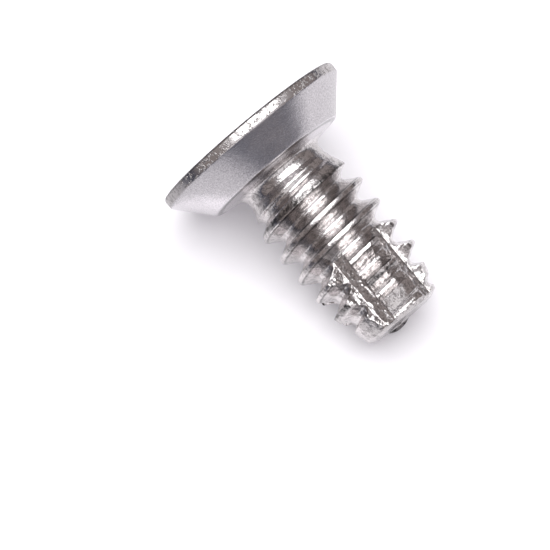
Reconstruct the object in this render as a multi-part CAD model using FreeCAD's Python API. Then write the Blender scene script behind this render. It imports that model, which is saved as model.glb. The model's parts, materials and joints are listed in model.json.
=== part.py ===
import FreeCAD, Part
import math
import os

# Thread-cutting machine screw with an undercut countersunk head, millimetres.
# It is shaped along +X, head top at X = 0, and then laid down on its rim and thread.

# Overall
LENGTH = 7.14                 # head top to end face
PITCH = 0.794                 # one start, right hand
MAJOR_RADIUS = 1.69
ROOT_RADIUS = 1.237

# Head
HEAD_RADIUS = 3.15
RIM_LAND = 0.32               # height of the worn cylindrical edge
RIM_ROUND = 0.10
SEAT_ANGLE = 82.0             # included angle of the countersunk seat
SEAT_HEIGHT = 1.02
SEAT_ROUND = 0.07             # edge between the seat and the underside
UNDERSIDE_FALL = 10.0         # slope of the undercut face
NECK_ROUND = 0.40             # fillet between the underside and the neck

# Neck and run-out of the thread
NECK_RADIUS = 1.345
NECK_END = 1.87               # where the blank starts to swell towards the first full crest
FULL_CREST = 2.80             # where the crests reach the major radius
RUN_OUT_START = 2.85          # from here to the neck the groove grows shallow
RUN_OUT_END = 1.93
RUN_OUT_RISE = 0.20           # how far the groove bottom climbs over that stretch

# Thread form
THREAD_ANGLE = 60.0
CREST_FLAT = 0.116
CREST_X = 3.958               # a crest stands here at angle zero, on the +Y side
GROOVE_OVERCUT = 0.07         # how far the cutter stands out over the major radius

# Point
TAPER_START = 5.69
TAPER_END_RADIUS = 1.27
END_CHAMFER_RADIUS = 1.02
END_CHAMFER = 0.11

# Cutting flutes
FLUTES = 5
FLUTE_START = 4.64
FLUTE_FACE_ANGLE = 103.4      # direction of the steep cutting face of the first flute
FLUTE_FACE_OFFSET = 0.29      # distance of that face from the axis
FLUTE_DEPTH_RADIUS = 1.21     # the floor lies just under the root of the thread
FLUTE_FLOOR_TURN = 17.0       # angle the floor takes up
FLUTE_RELIEF = 68.0           # lean of the back wall from the cutting face
FLUTE_BACK_REACH = 1.13       # how far the back wall is carried outwards

# Cross recess for the driver
RECESS_RADIUS = 1.90
RECESS_WING_DEPTH = 1.20
RECESS_WING_LEAN = 26.5
RECESS_WING_WIDTH = 0.86
RECESS_FLOOR_SLOPE = 28.0
RECESS_CORE_RADIUS = 1.02
RECESS_CORE_LEAN = 8.0

OVER = 0.6                    # how far cutters reach past what they cut
SECTOR_START = 8.0            # direction in which the blank's first sector starts
MESH = 0.01                   # fineness of the points that the resting position is found from
TILT_STEP = 1e-7              # radians to which the resting tilt is found
V = FreeCAD.Vector
ORIGIN = V(0, 0, 0)
AXIS = V(1, 0, 0)


def tan(degrees):
    return math.tan(math.radians(degrees))


def polar(x, radius, degrees):
    """A point beside the axis; the angle turns from +Y towards +Z."""
    turn = math.radians(degrees)
    return V(x, radius * math.cos(turn), radius * math.sin(turn))


def rounded_outline(corners):
    """Closed wire through (x, radius, rounding) corners, in the plane of the axis."""
    edges = []
    count = len(corners)
    ends = []
    for i in range(count):
        here = V(corners[i][0], corners[i][1], 0)
        size = corners[i][2]
        before = V(corners[i - 1][0], corners[i - 1][1], 0) - here
        after = V(corners[(i + 1) % count][0], corners[(i + 1) % count][1], 0) - here
        before.normalize()
        after.normalize()
        if size == 0:
            ends.append((here, here))
            continue
        half = before.getAngle(after) / 2
        reach = size / math.tan(half)
        inward = before + after
        inward.normalize()
        middle = here + inward * (size / math.sin(half) - size)
        first = here + before * reach
        last = here + after * reach
        edges.append(Part.Arc(first, middle, last).toShape())
        ends.append((first, last))
    for i in range(count):
        edges.append(Part.LineSegment(ends[i - 1][1], ends[i][0]).toShape())
    return Part.Wire(Part.__sortEdges__(edges))


def blank():
    """The turned body before threading: head, neck, swelling shank and tapered point.

    It is turned in sectors, two for each flute, so that the land left on the thread's crest is
    a row of short arcs, each at one place along the axis.
    """
    seat_end = RIM_LAND + SEAT_HEIGHT
    seat_radius = HEAD_RADIUS - SEAT_HEIGHT * tan(SEAT_ANGLE / 2)
    underside_end = seat_end + (seat_radius - NECK_RADIUS) * tan(UNDERSIDE_FALL)
    corners = [
        (0, 0, 0),
        (0, HEAD_RADIUS, RIM_ROUND),
        (RIM_LAND, HEAD_RADIUS, RIM_ROUND),
        (seat_end, seat_radius, SEAT_ROUND),
        (underside_end, NECK_RADIUS, NECK_ROUND),
        (NECK_END, NECK_RADIUS, 0),
        (FULL_CREST, MAJOR_RADIUS, 0),
        (TAPER_START, MAJOR_RADIUS, 0),
        (LENGTH - END_CHAMFER, TAPER_END_RADIUS, 0),
        (LENGTH, END_CHAMFER_RADIUS, 0),
        (LENGTH, 0, 0),
    ]
    count = 2 * FLUTES
    sectors = []
    for i in range(count):
        sector = Part.Face(rounded_outline(corners)).revolve(ORIGIN, AXIS, 360 / count)
        sector.rotate(ORIGIN, AXIS, SECTOR_START + i * 360 / count)
        sectors.append(sector)
    return sectors[0].fuse(sectors[1:])


def groove_cutter(length, rise):
    """Cutter swept along a right-hand helix from X = 0, climbing from the root by rise.

    The round bottom of the groove is made of three flats, each tangent to the true round.
    """
    path = Part.makeLongHelix(PITCH, length, ROOT_RADIUS, math.degrees(math.atan2(rise, length)))
    path.rotate(ORIGIN, V(1, 1, 1), 120)
    flank = THREAD_ANGLE / 2
    crest_half = (PITCH - CREST_FLAT) / 2
    sharp_root = MAJOR_RADIUS - crest_half / tan(flank)
    root_round = (ROOT_RADIUS - sharp_root) / (1 / math.sin(math.radians(flank)) - 1)
    step = (90 - flank) / 4
    corner_reach = root_round / math.cos(math.radians(step))
    mouth = MAJOR_RADIUS + GROOVE_OVERCUT
    mouth_half = crest_half + GROOVE_OVERCUT * tan(flank)
    corners = [V(-mouth_half, mouth, 0)]
    for turn in (-3 * step, -step, step, 3 * step):
        across = corner_reach * math.sin(math.radians(turn))
        deep = corner_reach * math.cos(math.radians(turn))
        corners.append(V(across, ROOT_RADIUS + root_round - deep, 0))
    corners.append(V(mouth_half, mouth, 0))
    corners.append(corners[0])
    profile = Part.makePolygon(corners)
    sweep = Part.BRepOffsetAPI.MakePipeShell(Part.Wire(path.Edges))
    sweep.setBiNormalMode(AXIS)
    sweep.add(profile, False, False)
    sweep.build()
    sweep.makeSolid()
    return sweep.shape()


def grooves():
    """The thread groove: full depth out past the end face, and a rising run-out at the neck."""
    full = groove_cutter(LENGTH + PITCH - RUN_OUT_START, 0)
    run_out = groove_cutter(RUN_OUT_START - RUN_OUT_END, RUN_OUT_RISE)
    run_out.rotate(ORIGIN, V(0, 1, 0), 180)
    turn = 360 * (RUN_OUT_START - PITCH / 2 - CREST_X) / PITCH
    for cutter in (full, run_out):
        cutter.rotate(ORIGIN, AXIS, turn)
        cutter.translate(AXIS * RUN_OUT_START)
    return [full, run_out]


def flute():
    """Saw-tooth notch along the point: a steep cutting face, a floor and a leaning back wall."""
    face_lean = math.degrees(math.asin(FLUTE_FACE_OFFSET / FLUTE_DEPTH_RADIUS))
    foot = polar(FLUTE_START, FLUTE_DEPTH_RADIUS, FLUTE_FACE_ANGLE + face_lean)
    heel = polar(FLUTE_START, FLUTE_DEPTH_RADIUS, FLUTE_FACE_ANGLE + face_lean + FLUTE_FLOOR_TURN)
    face_way = polar(0, MAJOR_RADIUS, FLUTE_FACE_ANGLE)
    back_way = polar(0, FLUTE_BACK_REACH, FLUTE_FACE_ANGLE + FLUTE_RELIEF)
    outline = Part.makePolygon([foot, foot + face_way, heel + back_way + face_way, heel + back_way, heel, foot])
    return Part.Face(outline).extrude(AXIS * (LENGTH + OVER - FLUTE_START))


def recess():
    """Cross recess: a cross and a leaning core, both held inside one cone with a conical floor."""
    corner = RECESS_RADIUS - RECESS_WING_DEPTH * tan(RECESS_WING_LEAN)
    floor = RECESS_WING_DEPTH + corner * tan(RECESS_FLOOR_SLOPE)
    half = RECESS_WING_WIDTH / 2
    reach = RECESS_RADIUS + OVER
    quarter = [(half, half), (half, reach), (-half, reach)]
    outline = []
    for i in range(4):
        for across, along in quarter:
            corner_point = V(-OVER, across, along)
            outline.append(FreeCAD.Rotation(AXIS, 90 * i).multVec(corner_point))
    outline.append(outline[0])
    cross = Part.Face(Part.makePolygon(outline)).extrude(AXIS * (floor + 2 * OVER))
    core_height = floor + 2 * OVER
    core_mouth = RECESS_CORE_RADIUS + OVER * tan(RECESS_CORE_LEAN)
    core_end = core_mouth - core_height * tan(RECESS_CORE_LEAN)
    core = Part.makeCone(core_mouth, core_end, core_height, AXIS * -OVER, AXIS)
    room = Part.Face(Part.makePolygon([
        V(-OVER, 0, 0),
        V(-OVER, RECESS_RADIUS + OVER * tan(RECESS_WING_LEAN), 0),
        V(RECESS_WING_DEPTH, corner, 0),
        V(floor, 0, 0),
        V(-OVER, 0, 0),
    ])).revolve(ORIGIN, AXIS, 360)
    return cross.fuse(core).common(room)


def screw():
    """The whole screw along its own axis."""
    threaded = blank().cut(grooves())
    cutters = [recess()]
    for i in range(FLUTES):
        cutter = flute()
        cutter.rotate(ORIGIN, AXIS, 360 * i / FLUTES)
        cutters.append(cutter)
    return threaded.cut(cutters).Solids[0]


def lay_down(body):
    """Tip the screw until its rim and its thread both touch the ground, and centre it there."""
    points = body.tessellate(MESH)[0]
    shoulder = RIM_LAND + SEAT_HEIGHT
    low, high = 0.0, math.radians(SEAT_ANGLE / 2)
    while high - low > TILT_STEP:
        tilt = (low + high) / 2
        rim = min(p.z * math.cos(tilt) - p.x * math.sin(tilt) for p in points if p.x < shoulder)
        shank = min(p.z * math.cos(tilt) - p.x * math.sin(tilt) for p in points if p.x > shoulder)
        if rim < shank:
            low = tilt
        else:
            high = tilt
    body.rotate(ORIGIN, V(0, 1, 0), math.degrees(tilt))
    points = body.tessellate(MESH)[0]
    middle_x = (min(p.x for p in points) + max(p.x for p in points)) / 2
    middle_y = (min(p.y for p in points) + max(p.y for p in points)) / 2
    body.translate(V(-middle_x, -middle_y, -min(p.z for p in points)))
    return body


os.makedirs("parts", exist_ok=True)
lay_down(screw()).exportStep("parts/screw.step")
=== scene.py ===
import json
import math

import bmesh
import bpy
from mathutils import Matrix, Vector


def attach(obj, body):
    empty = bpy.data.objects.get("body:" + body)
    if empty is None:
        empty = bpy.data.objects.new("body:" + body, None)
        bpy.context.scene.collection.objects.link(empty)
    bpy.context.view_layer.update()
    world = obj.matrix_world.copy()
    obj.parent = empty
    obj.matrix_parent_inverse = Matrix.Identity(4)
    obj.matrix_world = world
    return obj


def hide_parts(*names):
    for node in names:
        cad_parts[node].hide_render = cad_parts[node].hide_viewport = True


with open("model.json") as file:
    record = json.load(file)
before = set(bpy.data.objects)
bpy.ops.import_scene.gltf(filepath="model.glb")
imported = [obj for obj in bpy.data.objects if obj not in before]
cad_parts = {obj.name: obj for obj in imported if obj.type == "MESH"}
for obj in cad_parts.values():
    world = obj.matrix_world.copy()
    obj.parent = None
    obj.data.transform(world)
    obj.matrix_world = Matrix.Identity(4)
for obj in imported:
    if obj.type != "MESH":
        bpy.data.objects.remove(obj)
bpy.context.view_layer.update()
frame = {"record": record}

MM = 0.001

# Sizes of the screw in millimetres, along its own axis from the head's top (0) to the end face.
LENGTH = 7.14
PITCH = 0.794
MAJOR_RADIUS = 1.69
ROOT_RADIUS = 1.237

HEAD_RADIUS = 3.15
RIM_LAND = 0.32               # height of the worn cylindrical edge
RIM_ROUND = 0.10
SEAT_ANGLE = 82.0             # included angle of the countersunk seat
SEAT_HEIGHT = 1.02
SEAT_ROUND = 0.07             # edge between the seat and the underside
UNDERSIDE_FALL = 10.0         # slope of the undercut face
NECK_ROUND = 0.26             # closer than in the solid: the highlight on the neck is this narrow

NECK_RADIUS = 1.345
NECK_END = 1.87               # where the blank starts to swell towards the first full crest
FULL_CREST = 2.80             # where the crests reach the major radius
RUN_OUT_START = 2.85          # from here to the neck the groove grows shallow
RUN_OUT_END = 1.93
RUN_OUT_RISE = 0.20           # how far the groove's bottom climbs over that stretch
THREAD_ANGLE = 60.0
CREST_X = 3.958               # a crest stands here at angle zero, on the +Y side

TAPER_START = 5.69
TAPER_END_RADIUS = 1.27
END_CHAMFER_RADIUS = 1.02
END_CHAMFER = 0.11
END_DISH = 0.05
LIP_TURN = -88.0              # direction of a lip on the end face's edge, which is painted dark
LIP_SPREAD = 22.0
LIP_HEIGHT = 0.10
LIP_RADIUS = 0.96 * END_CHAMFER_RADIUS    # it stands outside this radius

FLUTES = 5
FLUTE_START = 4.64
FLUTE_RISE = 5.0              # how steeply a flute comes up out of the steel at its start
FLUTE_FACE_ANGLE = 103.4      # direction of the steep cutting face of the first flute
FLUTE_FACE_OFFSET = 0.29      # distance of that face from the axis
FLUTE_LEAD = 15.0             # degrees before its face at which a flute takes over from the one before
FLUTE_DEPTH_RADIUS = 1.21     # the floor lies just under the root of the thread
FLUTE_FLOOR_TURN = 17.0       # angle the floor takes up
FLUTE_RELIEF = 68.0           # lean of the back wall from the cutting face

RECESS_RADIUS = 1.90
RECESS_WING_DEPTH = 1.20
RECESS_WING_LEAN = 26.5
RECESS_WING_WIDTH = 0.86
RECESS_FLOOR_SLOPE = 28.0
RECESS_CORE_RADIUS = 1.02
RECESS_CORE_LEAN = 8.0
RECESS_OVER = 0.3             # how far its cutter stands out over the head's top

# How finely the surface is divided.
ARC_STEPS = 6
OUTLINE_SPACING = 0.09
COLUMNS = 300
FIRST_TURN = 0.25 / COLUMNS   # keeps the columns clear of the corners of the recess
ROWS_PER_PITCH = 28
CREST_ROWS = 4
SLEEVE_START = CREST_X - 3 * PITCH + 10 * PITCH / ROWS_PER_PITCH   # a row just before NECK_END
SLEEVE_ROWS = math.ceil(ROWS_PER_PITCH * ((LENGTH - SLEEVE_START) / PITCH + 1))
MERGE_DISTANCE = 0.0004
CORE_STEPS = 6
SHARP_ANGLE = 38.0            # edges sharper than this are shaded sharp

# How soft and how uneven the surface is.
EDGE_BLEND = 0.035            # softness of the thread's and the flutes' edges
NECK_SOFTENING = 2.0          # how many times more of it the crests have at the neck
RIPPLE = 0.006                # unevenness of the whole surface
RIPPLE_SCALE = 2.6
BURR = 0.050                  # unevenness where the flutes were cut
BURR_SCALE = 4.6
BURR_START = (FLUTE_START - 0.1, FLUTE_START + 0.2)
BURR_END = (LENGTH - 0.2, LENGTH - 0.02)


def tan(degrees):
    return math.tan(math.radians(degrees))


def cos(degrees):
    return math.cos(math.radians(degrees))


def sin(degrees):
    return math.sin(math.radians(degrees))


class Wire:
    """An output in a node tree. Arithmetic on it adds Math nodes to that tree."""

    def __init__(self, tree, socket):
        self.tree = tree
        self.socket = socket

    def math(self, operation, *values):
        made = self.tree.node("ShaderNodeMath", {"operation": operation}, list(values))
        return Wire(self.tree, made.outputs[0])

    def __add__(self, other):
        return self.math("ADD", self, other)

    def __radd__(self, other):
        return self.math("ADD", other, self)

    def __sub__(self, other):
        return self.math("SUBTRACT", self, other)

    def __rsub__(self, other):
        return self.math("SUBTRACT", other, self)

    def __mul__(self, other):
        return self.math("MULTIPLY", self, other)

    def __rmul__(self, other):
        return self.math("MULTIPLY", other, self)

    def __truediv__(self, other):
        return self.math("DIVIDE", self, other)

    def __rtruediv__(self, other):
        return self.math("DIVIDE", other, self)

    def __pow__(self, other):
        return self.math("POWER", self, other)

    def sine(self):
        return self.math("SINE", self)

    def cosine(self):
        return self.math("COSINE", self)

    def direction(self, across):
        """Angle in radians at which the point (across, self) lies."""
        return self.math("ARCTAN2", self, across)

    def root(self):
        return self.math("SQRT", self)

    def size(self):
        return self.math("ABSOLUTE", self)

    def floor(self):
        return self.math("FLOOR", self)

    def least(self, other):
        return self.math("MINIMUM", self, other)

    def most(self, other):
        return self.math("MAXIMUM", self, other)

    def least_soft(self, other, blend):
        return self.math("SMOOTH_MIN", self, other, blend)

    def wrapped(self, high, low):
        return self.math("WRAP", self, high, low)

    def above(self, other):
        return self.math("GREATER_THAN", self, other)

    def step(self, low, high):
        """0 under low, 1 over high and smooth between them."""
        made = self.tree.node("ShaderNodeMapRange", {"interpolation_type": "SMOOTHSTEP"},
                              {"Value": self, "From Min": low, "From Max": high})
        return Wire(self.tree, made.outputs["Result"])


class Tree:
    """A node tree and the one way nodes are added to it."""

    MIX_COLOUR = 2   # the output of a Mix node that carries its colour

    def __init__(self, tree):
        self.tree = tree

    def node(self, kind, settings=None, inputs=None):
        """Inputs go by name or in order. A list is linked to one socket that takes several links."""
        made = self.tree.nodes.new(kind)
        for name, value in (settings or {}).items():
            setattr(made, name, value)
        pairs = inputs.items() if isinstance(inputs, dict) else enumerate(inputs or [])
        for key, value in pairs:
            socket = made.inputs[key]
            for given in value if isinstance(value, list) else [value]:
                if isinstance(given, Wire):
                    self.tree.links.new(given.socket, socket)
                else:
                    socket.default_value = given
        return made

    def wire(self, kind, settings=None, inputs=None, output=0):
        return Wire(self, self.node(kind, settings, inputs).outputs[output])

    def xyz(self, vector):
        """The three parts of a vector."""
        parts = self.node("ShaderNodeSeparateXYZ", None, [vector])
        return [Wire(self, parts.outputs[i]) for i in range(3)]


def rounded(corners, arc_steps, spacing):
    """Points along a line through (x, radius, rounding) corners, its round stretches divided evenly."""
    line = []
    for i, (x, radius, size) in enumerate(corners):
        here = Vector((x, radius))
        if size == 0:
            line.append(here)
            continue
        before = (Vector(corners[i - 1][:2]) - here).normalized()
        after = (Vector(corners[i + 1][:2]) - here).normalized()
        half = before.angle(after) / 2
        centre = here + (before + after).normalized() * (size / math.sin(half))
        first = here + before * (size / math.tan(half)) - centre
        turn = math.pi - 2 * half
        way = 1 if before.cross(after) < 0 else -1
        for step in range(arc_steps + 1):
            line.append(centre + Matrix.Rotation(way * turn * step / arc_steps, 2) @ first)
    divided = [line[0]]
    for point in line[1:]:
        run = point - divided[-1]
        pieces = max(1, round(run.length / spacing))
        start = divided[-1]
        divided += [start + run * (i + 1) / pieces for i in range(pieces)]
    return divided


def head_outline():
    """Head from the middle of its top, round the rim, down the seat and into the neck."""
    seat_end = RIM_LAND + SEAT_HEIGHT
    seat_radius = HEAD_RADIUS - SEAT_HEIGHT * tan(SEAT_ANGLE / 2)
    underside_end = seat_end + (seat_radius - NECK_RADIUS) * tan(UNDERSIDE_FALL)
    return rounded([
        (0, 0, 0),
        (0, HEAD_RADIUS, RIM_ROUND),
        (RIM_LAND, HEAD_RADIUS, RIM_ROUND),
        (seat_end, seat_radius, SEAT_ROUND),
        (underside_end, NECK_RADIUS, NECK_ROUND),
        (SLEEVE_START, NECK_RADIUS, 0),
    ], ARC_STEPS, OUTLINE_SPACING)


def end_outline():
    """End face from its edge to its slightly dished middle."""
    return [
        Vector((LENGTH, END_CHAMFER_RADIUS)),
        Vector((LENGTH, 0.9 * END_CHAMFER_RADIUS)),
        Vector((LENGTH - END_DISH / 2, 0.6 * END_CHAMFER_RADIUS)),
        Vector((LENGTH - END_DISH, 0)),
    ]


def fluted(turn, x, start):
    """Radius that the nearest flute cuts down to, the highest of its three walls, by whole turns."""
    face_lean = math.degrees(math.asin(FLUTE_FACE_OFFSET / FLUTE_DEPTH_RADIUS))
    spacing = math.tau / FLUTES
    before = math.radians(FLUTE_LEAD)
    local = (turn * math.tau - math.radians(FLUTE_FACE_ANGLE)).wrapped(spacing - before, -before)
    small = 0.02   # keeps the radius finite where a wall turns away from the axis
    face = FLUTE_FACE_OFFSET / local.sine().most(small)
    middle = math.radians(face_lean + FLUTE_FLOOR_TURN / 2)
    floor = FLUTE_DEPTH_RADIUS * cos(FLUTE_FLOOR_TURN / 2) / (local - middle).cosine().most(small)
    lean = math.radians(90 - FLUTE_RELIEF)
    heel = face_lean + FLUTE_FLOOR_TURN + 90 - FLUTE_RELIEF
    back = FLUTE_DEPTH_RADIUS * cos(heel) / (local + lean).cosine().most(small)
    return face.most(floor).most(back) + (start - x).most(0) * FLUTE_RISE


def lip(around):
    """Height of the lip on the end face's edge, by direction round the axis in radians."""
    away = (around - math.radians(LIP_TURN)) / math.radians(LIP_SPREAD)
    return (1 - away * away).most(0) * LIP_HEIGHT


def screw_tree(head_points, end_points):
    """Geometry Nodes: two turned surfaces from the outline and a threaded sleeve between them."""
    group = bpy.data.node_groups.new("turned_and_threaded", "GeometryNodeTree")
    group.interface.new_socket("Outline", in_out="INPUT", socket_type="NodeSocketGeometry")
    sizes = {
        "Pitch": PITCH, "Length": LENGTH, "Sleeve start": SLEEVE_START, "Major radius": MAJOR_RADIUS,
        "Root radius": ROOT_RADIUS, "Neck radius": NECK_RADIUS, "Flute start": FLUTE_START,
        "Edge blend": EDGE_BLEND, "Ripple": RIPPLE, "Burr": BURR,
    }
    for name in sizes:
        group.interface.new_socket(name, in_out="INPUT", socket_type="NodeSocketFloat")
    group.interface.new_socket("Finish", in_out="INPUT", socket_type="NodeSocketMaterial")
    group.interface.new_socket("Screw", in_out="OUTPUT", socket_type="NodeSocketGeometry")
    tree = Tree(group)
    given = tree.node("NodeGroupInput")
    size = {name: Wire(tree, given.outputs[name]) for name in sizes}
    outline = Wire(tree, given.outputs["Outline"])

    def surface(rows, place):
        """Grid of the given rows, wrapped round the axis by place(turn, row) -> x, radius."""
        grid = tree.wire("GeometryNodeMeshGrid", None,
                         {"Size X": 1.0, "Size Y": 1.0, "Vertices X": COLUMNS + 1, "Vertices Y": rows + 1})
        across, down, _ = tree.xyz(tree.wire("GeometryNodeInputPosition"))
        turn = across + (0.5 + FIRST_TURN)
        row = (down + 0.5) * rows
        x, radius = place(turn, row)
        angle = turn * math.tau
        point = tree.wire("ShaderNodeCombineXYZ", None, [x, radius * angle.cosine(), radius * angle.sine()])
        return tree.wire("GeometryNodeSetPosition", None, {"Geometry": grid, "Position": point})

    def turned(first, count):
        """Surface whose rows follow the given points of the outline."""
        def place(turn, row):
            point = tree.wire(
                "GeometryNodeSampleIndex", {"data_type": "FLOAT_VECTOR", "clamp": True},
                {"Geometry": outline, "Value": tree.wire("GeometryNodeInputPosition"),
                 "Index": (row + (first + 0.5)).floor()})
            return tree.xyz(point)[:2]
        return surface(count - 1, place)

    def threaded(turn, row):
        """The sleeve: the turned blank, cut by the thread's groove, the flutes and the chamfer."""
        pitch = size["Pitch"]
        raw = size["Sleeve start"] + pitch * (row / ROWS_PER_PITCH + turn - (1 + FIRST_TURN))
        x = raw.most(size["Sleeve start"]).least(size["Length"])
        # Distance from the middle of the groove, which lies half a pitch from the crest.
        across = (x - CREST_X - pitch * (turn + 0.5)).wrapped(pitch * 0.5, pitch * -0.5).size()
        flank = THREAD_ANGLE / 2
        crest_half = pitch * ((1 - CREST_ROWS / ROWS_PER_PITCH) / 2)
        sharp_root = size["Major radius"] - crest_half / tan(flank)
        bottom_round = (size["Root radius"] - sharp_root) / (1 / sin(flank) - 1)
        touch = bottom_round * cos(flank)
        inside = across.least(touch)
        bottom = size["Root radius"] + bottom_round - (bottom_round * bottom_round - inside * inside).root()
        side = (across - touch).most(0) / tan(flank)
        run_out = ((RUN_OUT_START - x) / (RUN_OUT_START - RUN_OUT_END)).most(0) * RUN_OUT_RISE
        groove = bottom + side + run_out
        swell = size["Neck radius"] + (x - NECK_END).most(0) * (
            (size["Major radius"] - size["Neck radius"]) / (FULL_CREST - NECK_END))
        taper = size["Major radius"] - (x - TAPER_START) * (
            (size["Major radius"] - TAPER_END_RADIUS) / (LENGTH - END_CHAMFER - TAPER_START))
        chamfer = END_CHAMFER_RADIUS + (LENGTH - x) * ((TAPER_END_RADIUS - END_CHAMFER_RADIUS) / END_CHAMFER)
        blank = swell.least(size["Major radius"]).least(taper)
        blend = size["Edge blend"]
        start_blend = blend * (1 + NECK_SOFTENING * (1 - x.step(RUN_OUT_END, FULL_CREST)))
        radius = blank.least_soft(groove, start_blend)
        radius = radius.least_soft(fluted(turn, x, size["Flute start"]), blend).least(chamfer)
        return x, radius

    def moved(geometry, offset):
        return tree.wire("GeometryNodeSetPosition", None, {"Geometry": geometry, "Offset": offset})

    parts = [turned(0, head_points), surface(SLEEVE_ROWS, threaded), turned(head_points, end_points)]
    whole = tree.wire("GeometryNodeJoinGeometry", None, [parts])
    whole = tree.wire("GeometryNodeMergeByDistance", None, {"Geometry": whole, "Distance": MERGE_DISTANCE})
    # The whole surface is a little uneven, and lumpy where the flutes were cut.
    ripple = tree.wire("ShaderNodeTexNoise", {"noise_dimensions": "3D"},
                       {"Scale": RIPPLE_SCALE, "Detail": 3.0, "Roughness": 0.6})
    lumps = tree.wire("ShaderNodeTexNoise", {"noise_dimensions": "3D"},
                      {"Scale": BURR_SCALE, "Detail": 2.0, "Roughness": 0.55})
    x, y, z = tree.xyz(tree.wire("GeometryNodeInputPosition"))
    at_flutes = x.step(*BURR_START) * (1 - x.step(*BURR_END))
    depth = (ripple - 1.0) * size["Ripple"] + (lumps - 0.75).least(0) * at_flutes * size["Burr"]
    inwards = tree.wire("ShaderNodeVectorMath", {"operation": "SCALE"},
                        {"Vector": tree.wire("GeometryNodeInputNormal"), "Scale": depth})
    whole = moved(whole, inwards)
    # The lip stands on the edge of the end face.
    at_edge = x.above(LENGTH - 0.01) * (y * y + z * z).root().above(LIP_RADIUS)
    whole = moved(whole, tree.wire("ShaderNodeCombineXYZ", None, [lip(z.direction(y)) * at_edge]))
    whole = tree.wire("GeometryNodeRealizeInstances", None, {"Geometry": whole})
    whole = tree.wire("GeometryNodeSetMaterial", None,
                      {"Geometry": whole, "Material": Wire(tree, given.outputs["Finish"])})
    tree.node("NodeGroupOutput", None, [whole])
    return group, sizes


def plain_mesh(obj):
    """The object as its modifiers leave it, as a mesh of its own with no modifiers."""
    evaluated = obj.evaluated_get(bpy.context.evaluated_depsgraph_get())
    mesh = bpy.data.meshes.new_from_object(evaluated)
    mesh.name = obj.name
    obj.modifiers.clear()
    obj.data = mesh
    return mesh


def add_object(name, points, edges=(), faces=()):
    """A mesh object in the scene, from its points and what joins them."""
    mesh = bpy.data.meshes.new(name)
    mesh.from_pydata([tuple(p) for p in points], list(edges), list(faces))
    obj = bpy.data.objects.new(name, mesh)
    bpy.context.scene.collection.objects.link(obj)
    return obj


def recess_cutter():
    """Cross recess: leaning wings and core down to a shallow cone, closed over the head's top."""
    corner = RECESS_RADIUS - RECESS_WING_DEPTH * tan(RECESS_WING_LEAN)
    floor = RECESS_WING_DEPTH + corner * tan(RECESS_FLOOR_SLOPE)
    mouth = RECESS_RADIUS + RECESS_OVER * tan(RECESS_WING_LEAN)
    half = RECESS_WING_WIDTH / 2

    def ring(reach, core, x_of):
        """Points round the cross where its wings have this reach and its core this radius."""
        edge = math.asin(half / core)
        shoulder = math.sqrt(reach * reach - half * half)
        quarter = [(shoulder, -half), (reach, 0), (shoulder, half)]
        for i in range(CORE_STEPS + 1):
            turn = edge + (math.pi / 2 - 2 * edge) * i / CORE_STEPS
            quarter.append((core * math.cos(turn), core * math.sin(turn)))
        points = []
        for i in range(4):
            for y, z in quarter:
                spot = Matrix.Rotation(math.pi / 2 * i, 2) @ Vector((y, z))
                points.append((x_of(spot.length), spot.x, spot.y))
        return points

    core_mouth = RECESS_CORE_RADIUS + RECESS_OVER * tan(RECESS_CORE_LEAN)
    core_low = RECESS_CORE_RADIUS - floor * tan(RECESS_CORE_LEAN)
    upper = ring(mouth, core_mouth, lambda r: -RECESS_OVER)
    lower = ring(corner, core_low, lambda r: floor - r * tan(RECESS_FLOOR_SLOPE))
    count = len(upper)
    points = upper + lower + [(floor, 0, 0), (-RECESS_OVER, 0, 0)]
    faces = []
    for i in range(count):
        after = (i + 1) % count
        faces.append((i, after, count + after, count + i))
        faces.append((count + i, count + after, 2 * count))
        faces.append((after, i, 2 * count + 1))
    return add_object("recess_cutter", points, faces=faces)


def outward(mesh):
    """Turns the faces outwards if the mesh was built inside out."""
    work = bmesh.new()
    work.from_mesh(mesh)
    bmesh.ops.recalc_face_normals(work, faces=work.faces)
    if work.calc_volume(signed=True) < 0:
        bmesh.ops.reverse_faces(work, faces=work.faces)
    work.to_mesh(mesh)
    work.free()


def make_screw(finish, place):
    """The dressed screw: one outline turned and threaded by Geometry Nodes, then the recess cut in."""
    head = head_outline()
    end = end_outline()
    points = [(p.x, p.y, 0) for p in head + end]
    obj = add_object("flat_head_screw", points, edges=[(i, i + 1) for i in range(len(points) - 1)])
    group, sizes = screw_tree(len(head), len(end))
    given = {**sizes, "Finish": finish}
    shaping = obj.modifiers.new("turned_and_threaded", "NODES")
    shaping.node_group = group
    for item in group.interface.items_tree:
        if item.in_out == "INPUT" and item.name in given:
            shaping[item.identifier] = given[item.name]
    outward(plain_mesh(obj))
    cutter = recess_cutter()
    outward(cutter.data)
    cutter.data.materials.append(finish)
    cut = obj.modifiers.new("driver_recess", "BOOLEAN")
    cut.operation = "DIFFERENCE"
    cut.solver = "EXACT"
    cut.object = cutter
    mesh = plain_mesh(obj)
    bpy.data.objects.remove(cutter)
    mesh.transform(place @ Matrix.Scale(MM, 4))
    for polygon in mesh.polygons:
        polygon.use_smooth = True
    mesh.set_sharp_from_angle(angle=math.radians(SHARP_ANGLE))
    return obj


def screw_place():
    """Where the screw's own frame lies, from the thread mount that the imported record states."""
    mount = next(m for m in frame["record"]["mounts"] if m["name"] == "thread")
    axis = Vector(mount["axis"]).normalized()
    middle = (FULL_CREST + TAPER_START) / 2 * MM
    side = Vector((0, 1, 0))
    rotation = Matrix((axis, side, axis.cross(side))).transposed().to_4x4()
    return Matrix.Translation(Vector(mount["pos_m"]) - axis * middle) @ rotation


def new_material(name):
    """A material with an empty node tree."""
    material = bpy.data.materials.new(name)
    material.use_nodes = True
    material.node_tree.nodes.clear()
    return material, Tree(material.node_tree)


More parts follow.
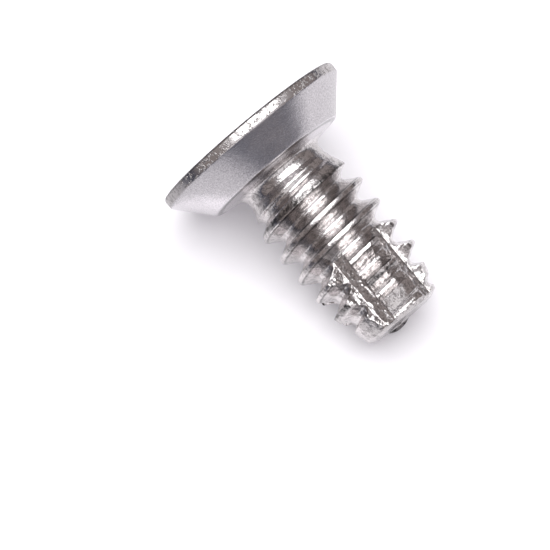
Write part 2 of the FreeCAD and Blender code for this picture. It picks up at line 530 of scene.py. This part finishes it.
# Finish: where each kind of surface starts and ends, in millimetres.
RIM_OUT = (HEAD_RADIUS - 0.10, HEAD_RADIUS - 0.04)
RIM_DOWN = (RIM_LAND - 0.03, RIM_LAND + 0.03)
TOP_EDGE = (0.03, 0.10)                       # a dark line follows the edge of the head's top
THREAD_ALONG = (1.42, 1.52)                   # the neck has the thread's finish, the underside the head's
THREAD_OUT = (1.85, 2.05)
INSIDE_START = 0.03                           # the recess lies between these two, within its own cone
INSIDE_END = 2.0
INSIDE_MARGIN = 0.02
DARK_REFLECTION_START = (1.33, 1.36)                     # painted dark reflection: a dark line lies under the seat's lower edge
DARK_REFLECTION_END = (1.40, 1.48)
DARK_REFLECTION_OUT = (2.0, 2.1)
NOTCH_START = FLUTE_START - 0.05              # the flutes' walls are freshly cut metal
NOTCH_DEPTH = (0.012, 0.04)
# Painted shade lies on the flanks from here up to the crest.
PAINTED_SHADE_BELOW_CREST = (MAJOR_RADIUS - 0.13, MAJOR_RADIUS - 0.07)
CREST = (MAJOR_RADIUS - 0.05, MAJOR_RADIUS - 0.03)
DARK_LIP_START = LENGTH - 0.02                   # the lip and the end face next to it are painted dark
DARK_LIP_RADIUS = 0.91 * END_CHAMFER_RADIUS
HEAD_COLOUR = (0.72, 0.695, 0.715, 1)
THREAD_COLOUR = (0.69, 0.66, 0.655, 1)


def plated_steel(place):
    """Bright zinc plating: glossy on the thread, satin on the seat, speckled on the worn rim."""
    material, tree = new_material("zinc_plated_steel")
    # Object coordinates are turned into the screw's own frame and millimetres.
    back = place.inverted()
    own = tree.wire("ShaderNodeMapping", {"vector_type": "POINT"}, {
        "Vector": tree.wire("ShaderNodeTexCoord", None, None, "Object"),
        "Location": back.translation, "Rotation": back.to_euler()})
    own = tree.wire("ShaderNodeVectorMath", {"operation": "SCALE"}, {"Vector": own, "Scale": 1 / MM})
    along, side, up = tree.xyz(own)
    radius = (side * side + up * up).root()
    around = up.direction(side)

    def noise(scale, detail=2.0, rough=0.5):
        return tree.wire("ShaderNodeTexNoise", {"noise_dimensions": "3D"},
                         {"Vector": own, "Scale": scale, "Detail": detail, "Roughness": rough})

    # Kinds of surface, each a mask from 0 to 1.
    rim = radius.step(*RIM_OUT) * (1 - along.step(*RIM_DOWN))
    reach = radius + along * tan(RECESS_WING_LEAN)
    # The recess is painted a little darker, as painted shade, and is also made a little rougher.
    inside = (along.above(INSIDE_START) * (1 - along.above(INSIDE_END))
              * (1 - reach.above(RECESS_RADIUS + INSIDE_MARGIN)))
    thread = along.step(*THREAD_ALONG) * (1 - radius.step(*THREAD_OUT)) * (1 - inside)
    head = (1 - thread) * (1 - rim)
    cut = fluted(around / math.tau, along, FLUTE_START)
    notch = (1 - (radius - cut).size().step(*NOTCH_DEPTH)) * along.above(NOTCH_START)

    # Grain and marks, and painted shade and a painted dark reflection.
    mottle = noise(1.3, 3.0)
    grain = noise(24.0, 2.0, 0.6)
    fine = noise(55.0, 2.0, 0.6)
    speckle = noise(8.0, 3.0, 0.7).step(0.52, 0.66)
    tarnish = noise(6.0, 3.0, 0.7).step(0.49, 0.58) * thread
    edge = (1 - along.step(*TOP_EDGE)) * rim
    # Painted dark reflection: a dark line under the seat's lower edge.
    painted_dark_reflection = along.step(*DARK_REFLECTION_START) * (1 - along.step(*DARK_REFLECTION_END)) * radius.step(*DARK_REFLECTION_OUT)
    # Painted shade: a dark band on the flanks just below each crest.
    painted_shade_below_crest = thread * radius.step(*PAINTED_SHADE_BELOW_CREST) * (1 - radius.step(*CREST))
    # The lip and the end face next to it are painted dark.
    dark_lip_patch = lip(around).above(0) * radius.above(DARK_LIP_RADIUS) * along.above(DARK_LIP_START)

    roughness = (
        0.13 * thread + 0.21 * head + 0.20 * rim + 0.06 * notch + 0.04 * inside
        + 0.05 * tarnish + (mottle - 0.5) * 0.12 + (grain - 0.5) * 0.10 + speckle * rim * 0.12)
    shade = 1 - (
        0.12 * mottle + 0.9 * (grain - 0.5) * (head + 0.7 * thread)
        + 0.28 * speckle * rim + 0.28 * tarnish + 0.4 * edge + 0.55 * painted_dark_reflection
        + 0.5 * painted_shade_below_crest + 0.72 * dark_lip_patch + 0.10 * inside)
    # Height of the bump in millimetres.
    height = (
        grain * (0.0024 * head + 0.0036 * thread) + fine * 0.0008 + noise(3.0) * 0.003
        + noise(13.0) * 0.005 * thread + noise(7.0) * 0.008 * thread
        + noise(4.0, 1.0) * 0.040 * notch + speckle * rim * 0.016)

    colour = tree.wire("ShaderNodeMix", {"data_type": "RGBA", "blend_type": "MIX"},
                       {"Factor": head, "A": THREAD_COLOUR, "B": HEAD_COLOUR}, Tree.MIX_COLOUR)
    tone = tree.wire("ShaderNodeVectorMath", {"operation": "SCALE"}, {"Vector": colour, "Scale": shade})
    bump = tree.wire("ShaderNodeBump", None, {"Strength": 1.0, "Distance": MM, "Height": height})
    shader = tree.wire("ShaderNodeBsdfPrincipled", None,
                       {"Base Color": tone, "Metallic": 1.0, "Roughness": roughness, "Normal": bump})
    tree.node("ShaderNodeOutputMaterial", None, {"Surface": shader})
    return material


# Camera: the image is 550 pixels square and each pixel is this many millimetres on the screw.
IMAGE = 550
PIXEL = 0.02907
AXIS_IN_IMAGE = Vector((0.6423, -0.7664))   # right and up parts of the screw's direction
TIP_TURN = 4.15                             # how far the view looks towards the end face
CAMERA_DISTANCE = 0.25
SENSOR_WIDTH = 36
SHANK_PIXEL = Vector((325.55, 224.9))       # middle of the screw's axis in the photograph

# Studio, in metres. The metal sees a floor that goes from light to dark and a wall round it: painted
# reflections on glowing cards that only the metal sees.
FLOOR_HALF = 1.5
FLOOR_COLOUR = (0.93, 0.915, 0.94, 1)
FLOOR_GLOW = 0.10
CARD_STEPS = 90
CARD_LIFT = 0.0001
CARD_LIGHT = (0.92, 0.90, 0.93, 1)
APRON_HOLE = 0.0045
APRON_LIGHT = 0.010              # the apron goes from light to dark between these two
APRON_DARK = 0.034
APRON_MIDDLE = 0.06
APRON_SHIFT = (0.0060, 0.0100)   # the light part reaches further on this side: painted shadow on the other side
APRON_COLOUR = (0.070, 0.075, 0.105, 1)
WALL_RADIUS = 0.30
WALL_COLOUR = (0.30, 0.265, 0.26, 1)
WALL_FOOT = 4.0                  # heights on the wall are in degrees, seen from the screw
WALL_SHOULDER = 36.0
WALL_HEIGHT = 50.0
WALL_TOP = (0.38, 0.36, 0.37, 1)
WINDOW = -8.0                    # direction of the light part of the wall, on the point's side: a painted reflection of a light
WINDOW_SPREAD = (24, 44)         # it fades out between these, to each side
WINDOW_SILL = (7, 13)            # and comes in between these, upwards
PAINTED_WINDOW_COLOUR = (1.0, 0.98, 1.0, 1)
SKY = 0.5
SKY_COLOUR = (0.98, 0.95, 1.0, 1)
SOFTBOXES = [
    # name, azimuth, elevation, distance, radius, brightness
    ("overhead", -140, 85, 0.45, 0.28, 3.10),
]


def camera_back(axis):
    """Unit vector from the screw to the camera, level horizon kept."""
    tilt = math.asin(-axis.z)
    across = -AXIS_IN_IMAGE.x * cos(TIP_TURN) / math.cos(tilt)
    ahead = math.sqrt(1 - across * across)
    reach = math.hypot(math.cos(tilt) * ahead, math.sin(tilt))
    lead = math.atan2(math.sin(tilt), math.cos(tilt) * ahead)
    elevation = math.acos(sin(TIP_TURN) / reach) - lead
    return Vector((math.cos(elevation) * ahead, math.cos(elevation) * across, math.sin(elevation)))


def add_camera(place):
    axis = place.to_3x3() @ Vector((1, 0, 0))
    back = camera_back(axis)
    right = Vector((0, 0, 1)).cross(back).normalized()
    up = back.cross(right)
    offset = (SHANK_PIXEL - Vector((IMAGE / 2, IMAGE / 2))) * PIXEL * MM
    aim = place @ Vector((LENGTH / 2 * MM, 0, 0)) - right * offset.x + up * offset.y
    data = bpy.data.cameras.new("camera")
    data.sensor_width = SENSOR_WIDTH
    data.lens = SENSOR_WIDTH * CAMERA_DISTANCE / (IMAGE * PIXEL * MM)
    data.clip_start = 0.005
    data.clip_end = 10
    camera = bpy.data.objects.new("camera", data)
    turned = Matrix((right, up, back)).transposed().to_4x4()
    camera.matrix_world = Matrix.Translation(aim + back * CAMERA_DISTANCE) @ turned
    bpy.context.scene.collection.objects.link(camera)
    bpy.context.scene.camera = camera


def paper_material():
    """Matt white paper that also shines a little towards the camera and in the metal."""
    material, tree = new_material("white_paper")
    paper = tree.wire("ShaderNodeBsdfDiffuse", None, {"Color": FLOOR_COLOUR})
    path = tree.node("ShaderNodeLightPath")
    seen = Wire(tree, path.outputs["Is Camera Ray"])
    for ray in ("Is Glossy Ray", "Is Transmission Ray"):
        seen = seen.most(Wire(tree, path.outputs[ray]))
    light = tree.wire("ShaderNodeEmission", None, {"Color": FLOOR_COLOUR, "Strength": seen * FLOOR_GLOW})
    surface = tree.wire("ShaderNodeAddShader", None, [paper, light])
    tree.node("ShaderNodeOutputMaterial", None, {"Surface": surface})
    return material


def painted_reflection_card_material():
    """Glowing card that gives the metal painted reflections, lighter close to the screw and towards its
    upper edge.
    """
    material, tree = new_material("painted_reflection_card")
    x, y, z = tree.xyz(tree.wire("ShaderNodeTexCoord", None, None, "Object"))
    away = ((x - APRON_SHIFT[0]) ** 2 + (y - APRON_SHIFT[1]) ** 2).root()
    rise = (z - 2 * CARD_LIFT).most(0) / (x * x + y * y).root()
    off = (y.direction(x) - math.radians(WINDOW)).size()
    beside = off.step(*(math.radians(edge) for edge in WINDOW_SPREAD))
    painted_window = (1 - beside) * rise.step(*(tan(edge) for edge in WINDOW_SILL))
    layers = [
        (1 - away.step(APRON_LIGHT, APRON_DARK), CARD_LIGHT),
        (rise.step(0.0, tan(WALL_FOOT)), WALL_COLOUR),
        (rise.step(tan(WALL_SHOULDER), tan(WALL_HEIGHT)), WALL_TOP),
        (painted_window, PAINTED_WINDOW_COLOUR),
    ]
    colour = APRON_COLOUR
    for share, other in layers:
        colour = tree.wire("ShaderNodeMix", {"data_type": "RGBA"},
                           {"Factor": share, "A": colour, "B": other}, Tree.MIX_COLOUR)
    # The cards glow with these colours and are seen only in the metal: painted reflections.
    shine = tree.wire("ShaderNodeEmission", None, {"Color": colour, "Strength": 1.0})
    tree.node("ShaderNodeOutputMaterial", None, {"Surface": shine})
    return material


def add_floor():
    half = FLOOR_HALF
    floor = add_object("floor", [(-half, -half, 0), (half, -half, 0), (half, half, 0), (-half, half, 0)],
                       faces=[(0, 1, 2, 3)])
    floor.data.materials.append(paper_material())


def add_painted_reflection_cards():
    """Glowing cards round the screw that only its metal sees, as painted reflections: a flat apron and a
    wall with one light part.
    """
    lift = Vector((0, 0, CARD_LIFT))
    top = Vector((0, 0, WALL_RADIUS * tan(WALL_HEIGHT)))
    points = []
    for i in range(CARD_STEPS):
        turn = math.tau * i / CARD_STEPS
        out = Vector((math.cos(turn), math.sin(turn), 0))
        points += [out * APRON_HOLE + lift, out * APRON_MIDDLE + lift, out * WALL_RADIUS + lift,
                   out * WALL_RADIUS + top]
    faces = []
    for i in range(CARD_STEPS):
        a, b = 4 * i, 4 * ((i + 1) % CARD_STEPS)
        faces += [(a + k, a + k + 1, b + k + 1, b + k) for k in range(3)]
    cards = add_object("painted_reflection_cards", points, faces=faces)
    cards.data.materials.append(painted_reflection_card_material())
    cards.visible_camera = False
    cards.visible_shadow = False
    cards.visible_diffuse = False


def add_softbox(name, azimuth, elevation, distance, radius, brightness):
    """Round lamp that looks at the screw. Its disc has the stated brightness at any radius."""
    data = bpy.data.lights.new(name, "AREA")
    data.shape = "DISK"
    data.size = 2 * radius
    data.energy = brightness * math.pi * math.pi * radius * radius
    light = bpy.data.objects.new(name, data)
    out = Vector((cos(elevation) * cos(azimuth), cos(elevation) * sin(azimuth), sin(elevation)))
    light.location = out * distance
    light.rotation_euler = out.to_track_quat("Z", "Y").to_euler()
    bpy.context.scene.collection.objects.link(light)


def light_scene():
    world = bpy.data.worlds.new("studio")
    world.use_nodes = True
    world.node_tree.nodes.clear()
    tree = Tree(world.node_tree)
    glow = tree.wire("ShaderNodeBackground", None, {"Color": SKY_COLOUR, "Strength": SKY})
    tree.node("ShaderNodeOutputWorld", None, {"Surface": glow})
    bpy.context.scene.world = world
    for softbox in SOFTBOXES:
        add_softbox(*softbox)


def main():
    bpy.context.scene.view_settings.view_transform = "Standard"
    place = screw_place()
    screw = make_screw(plated_steel(place), place)
    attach(screw, "root")
    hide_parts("screw")
    add_floor()
    add_painted_reflection_cards()
    light_scene()
    add_camera(place)


main()
